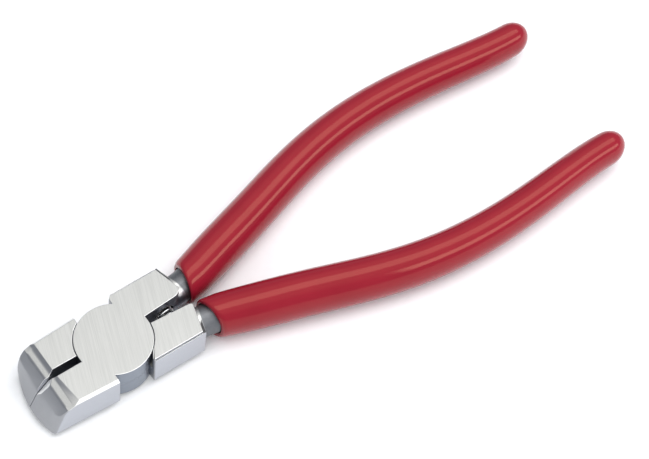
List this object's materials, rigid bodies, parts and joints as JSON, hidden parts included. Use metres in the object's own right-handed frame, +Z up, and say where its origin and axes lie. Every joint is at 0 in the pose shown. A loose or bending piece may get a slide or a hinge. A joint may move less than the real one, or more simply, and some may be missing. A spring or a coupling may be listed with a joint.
{
  "type": "lap-joint pliers",
  "caption": "Short-nosed lap-joint pliers with a blunt stepped nose, a riveted pivot, a return spring and two bowed handles in dipped grips.",
  "frame": {"origin": "on the pivot's axis, on the head's flat underside", "axes": "+X along the tool from the pivot towards the handles' ends, jaws towards -X; +Z up, along the pivot's axis, square to the head's flats; +Y completes the right-handed frame"},
  "size_m": [0.1665, 0.0558, 0.0138],
  "materials": {
    "ground_steel": "satin",
    "spring_wire": "bright drawn wire",
    "dipped_grip": "smooth gloss"
  },
  "bodies": {
    "upper": {"upper_half": "ground_steel", "pivot_rivet": "ground_steel", "return_spring": "spring_wire", "upper_grip": "dipped_grip"},
    "lower": {"lower_half": "ground_steel", "lower_grip": "dipped_grip"}
  },
  "joints": [
    {"name": "pivot", "type": "hinge", "parent": "upper", "child": "lower", "pos_m": [0, 0, 0.0051], "axis": [0, 0, -1], "range_deg": [0, 24], "stiffness_Nm_per_rad": 0.12, "springref_deg": 24, "deforming": ["return_spring"]}
  ]
}
